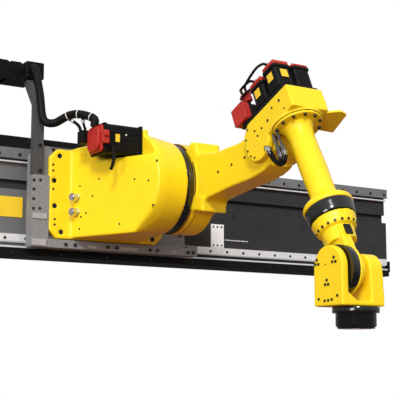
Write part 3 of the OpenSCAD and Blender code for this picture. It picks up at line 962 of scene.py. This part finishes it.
def elbow_hoses():
    hoses = Shape("elbow_hoses")
    for points, r in ELBOW_HOSES:
        lead(hoses, points, r, ON_FOREARM)
    hoses.done("elbow", "cable_rubber", smooth=60)
    ferrules = Shape("hose_ferrules")
    for place in LOWER_FERRULES:
        ferrules.lathe([(9, 0), (13, 1), (13, 24), (10, 27), (10, 40)], ON_FOREARM @ shift(*place), 6)
    for place in UPPER_FERRULES:
        ferrules.lathe([(15.5, 0), (15.5, 12), (11, 15), (11, 22)], ON_FOREARM @ shift(*place), 6)
    ferrules.done("elbow", "fitting_chrome")


def elbow_flange():
    screws = Shape("flange_screws")
    for x, y in circle_points(FLANGE_SCREW_R, 12, math.radians(16)):
        screws.screw(ON_FOREARM @ mm(x, y, 0), DOWN_ARM, 9, 9)
    screws.done("elbow", "bolt_dark")
    seam = Shape("flange_seam")
    seam.lathe([(126, -15), (131.5, -15), (131.5, -13), (126, -13)], ON_FOREARM, 96)
    seam.done("elbow", "seam_brown")


# ---------- wrist, hand and tool ----------

DRUM_SCREW_R, DRUM_SCREW_Z = 97, 611        # on the drum's rim, down the forearm
WINDOW = (-7, 80.5, 657)                    # in the wrist's neck; place on the forearm
# Screws of the fork's cheeks: y and z from the bend axis; threes in a triangle, and a row along the foot.
FORK_THREES = ((89, 36), (-33, 40), (20, -60))
TRIANGLE = ((0, 13), (-11, -7), (11, -7))
RIGHT_REACH = 70            # the right cheek is narrower: screws past this are left out there
FORK_ROW = ((79, -131), (36, -140), (11, -139), (-14, -136), (-53, -120))
FORK_CENTRE = (28, 25)
FORK_WEB, FORK_WEB_Y = [(34, -146), (98, -146), (84, -138), (37, -106)], (60, 87)     # x, z; depth


def wrist_details():
    screws = Shape("drum_screws")
    turn = ON_FOREARM.to_3x3()
    for x, y in circle_points(DRUM_SCREW_R, 18, math.radians(11)):
        screws.screw(ON_FOREARM @ mm(x, y, DRUM_SCREW_Z), turn @ Vector((x, y, 25)), 7, 5)
    screws.done("wrist", "bolt_dark")
    # The window: a dark inset in the neck, in painted shade.
    window = Shape("wrist_window")
    window.prism(rounded(42, 53, 6), -6, 0.5, ON_FOREARM @ frame_at(mm(*WINDOW), X, -Z, Y))
    window.done("wrist", "hole_painted_shade", bevel=1)


def fork_screws():
    low, high = box_mm("wrist_fork")
    screws = Shape("cheek_screws")
    for y, z in FORK_THREES:
        for dy, dz in TRIANGLE:
            screws.screw(AT_BEND @ mm(low.x, y + dy, z + dz), -X, 7, 4)
            if abs(y + dy) < RIGHT_REACH:
                screws.screw(AT_BEND @ mm(high.x, y + dy, z + dz), X, 7, 4)
    screws.screw(AT_BEND @ mm(low.x, *FORK_CENTRE), -X, 3.5, 2)
    for y, z in FORK_ROW:
        screws.screw(AT_BEND @ mm(low.x, y, z), -X, 6.5, 4)
    screws.done("hand", "bolt_dark")


def fork_forms():
    """The web between the cheeks and the boss on the right one."""
    web = Shape("fork_web")
    web.prism(FORK_WEB, *FORK_WEB_Y, AT_BEND @ facing_front(0, 0, 0))
    web.done("hand", "robot_yellow", bevel=3)
    boss = Shape("hand_boss")
    right = box_mm("wrist_fork")[1].x
    boss.lathe([(60, -3), (60, 2), (55, 5), (30, 5), (26, 2)], aim(AT_BEND @ mm(right, 0, 0), X), 48)
    boss.done("hand", "robot_yellow", smooth=40)


def tool_details():
    low, high = box_mm("tool_flange")
    middle = (low + high) / 2
    under = aim(mm(middle.x, middle.y, low.z), -Z)
    face = Shape("tool_face")
    face.lathe([(62, -2), (62, 1.5), (40, 1.5), (38, -1)], under, 48)
    face.done("tool", "bright_steel")
    screws = Shape("tool_screws")
    for x, y in circle_points(80, 10):
        screws.lathe([(7, -1), (7, 0.8), (5, 0.8), (4.5, -0.5)], under @ shift(x, y, 0), 20)
    for x, y in circle_points(96, 12):
        screws.screw(mm(middle.x + x, middle.y + y, high.z - 10), Z, 1, 1)
    screws.done("tool", "bolt_dark")


# ---------- stage, light and camera ----------

FLOOR_HALF, FLOOR_Z = 9.0, -1.9         # metres
FLOOR_SHADE = (0.10, 0.10, 0.10)        # as glossy surfaces see it
FLOOR_BOUNCE = (0.26, 0.11, 0.05)       # as the light that it throws back
SKY_LOW, SKY_HIGH = (0.14, 0.13, 0.12), (0.70, 0.70, 0.71)


def stage():
    floor = bpy.data.meshes.new("floor")
    corners = [(sx * FLOOR_HALF, sy * FLOOR_HALF, FLOOR_Z) for sx, sy in ((-1, -1), (1, -1), (1, 1), (-1, 1))]
    floor.from_pydata(corners, [], [(0, 1, 2, 3)])
    obj = bpy.data.objects.new("floor", floor)
    bpy.context.scene.collection.objects.link(obj)
    mat = material("floor_pale", (0.84, 0.84, 0.84), 0.8, vary=0.006, grain=2, bump=0.01)
    floor.materials.append(mat)
    dim_bounce(mat)


def mix_shaders(tree, factor, first, second, out):
    mix = tree.nodes.new("ShaderNodeMixShader")
    tree.links.new(factor, mix.inputs["Fac"])
    tree.links.new(first.outputs[0], mix.inputs[1])
    tree.links.new(second.outputs[0], mix.inputs[2])
    tree.links.new(mix.outputs[0], out.inputs["Surface"])


def dim_bounce(mat):
    """Keeps the floor pale to the camera, and dark and warm to the light it throws back up."""
    tree = mat.node_tree
    ray = tree.nodes.new("ShaderNodeLightPath")
    dark = tree.nodes.new("ShaderNodeBsdfDiffuse")
    tint = mix_colours(tree, ray.outputs["Is Diffuse Ray"], FLOOR_SHADE, FLOOR_BOUNCE)
    tree.links.new(tint, dark.inputs["Color"])
    mix_shaders(tree, ray.outputs["Is Camera Ray"], dark, tree.nodes["Principled BSDF"],
                tree.nodes["Material Output"])


def sky_background(tree):
    """A plain sky, warm and darker below."""
    place = tree.nodes.new("ShaderNodeTexCoord")
    split = tree.nodes.new("ShaderNodeSeparateXYZ")
    height = tree.nodes.new("ShaderNodeMapRange")
    ramp = tree.nodes.new("ShaderNodeValToRGB")
    sky = tree.nodes.new("ShaderNodeBackground")
    height.inputs["From Min"].default_value = -1
    below, above = ramp.color_ramp.elements
    below.position, above.position = 0.35, 0.75
    below.color, above.color = (*SKY_LOW, 1), (*SKY_HIGH, 1)
    tree.links.new(place.outputs["Generated"], split.inputs["Vector"])
    tree.links.new(split.outputs["Z"], height.inputs["Value"])
    tree.links.new(height.outputs["Result"], ramp.inputs["Fac"])
    tree.links.new(ramp.outputs["Color"], sky.inputs["Color"])
    return sky


def world():
    """White behind the object; a dimmer sky lights it."""
    studio = bpy.data.worlds.new("studio")
    bpy.context.scene.world = studio
    studio.use_nodes = True
    tree = studio.node_tree
    tree.nodes.clear()
    white = tree.nodes.new("ShaderNodeBackground")
    white.inputs["Color"].default_value = (1, 1, 1, 1)
    ray = tree.nodes.new("ShaderNodeLightPath")
    seen = tree.nodes.new("ShaderNodeMath")
    seen.operation = "MAXIMUM"
    tree.links.new(ray.outputs["Is Camera Ray"], seen.inputs[0])
    tree.links.new(ray.outputs["Is Transmission Ray"], seen.inputs[1])
    mix_shaders(tree, seen.outputs[0], sky_background(tree), white, tree.nodes.new("ShaderNodeOutputWorld"))


def sun(name, energy, place, spread):
    """A far lamp that shines from place to the shoulder; spread is its width in degrees."""
    data = bpy.data.lights.new(name, "SUN")
    data.energy = energy
    data.angle = math.radians(spread)
    obj = bpy.data.objects.new(name, data)
    bpy.context.scene.collection.objects.link(obj)
    obj.matrix_world = aim(place, place)


def camera():
    data = bpy.data.cameras.new("camera")
    data.sensor_width = 36
    data.lens = 99.0
    obj = bpy.data.objects.new("camera", data)
    obj.location = (-3.168, -6.027, -0.913)
    obj.rotation_euler = (math.radians(98.615), 0, math.radians(-32.5686))
    bpy.context.scene.collection.objects.link(obj)
    bpy.context.scene.camera = obj


# ---------- the whole ----------

camera()
world()
sun("key", 2.1, (-3.2, -5.0, 3.6), spread=12)
sun("fill", 1.2, (-4.5, -3.0, 0.5), spread=20)
dress_nodes()

rail_holes()
rack_teeth()
rail_spring()
channel_screws()

carriage_holes()
carriage_tags()
carriage_screws()
carrier_line = CarrierLine()
carrier_bars(carrier_line)
carrier_cables(carrier_line)
carrier_plates(carrier_line)
bundle()

base_motor()
base_motor_plug()
connector_leads()
base_motor_stickers()
base_motor_tail()
base_screws()
slant_details()
arm_details()

elbow_motors()
elbow_motor_stickers()
elbow_plugs()
elbow_leads()
elbow_cheek(-1, "boss_left", LEFT_CHEEK)
elbow_cheek(1, "boss_right", RIGHT_CHEEK)
elbow_hoses()
elbow_flange()

wrist_details()
fork_screws()
fork_forms()
tool_details()
stage()

scene = bpy.context.scene
scene.view_settings.view_transform = "Standard"
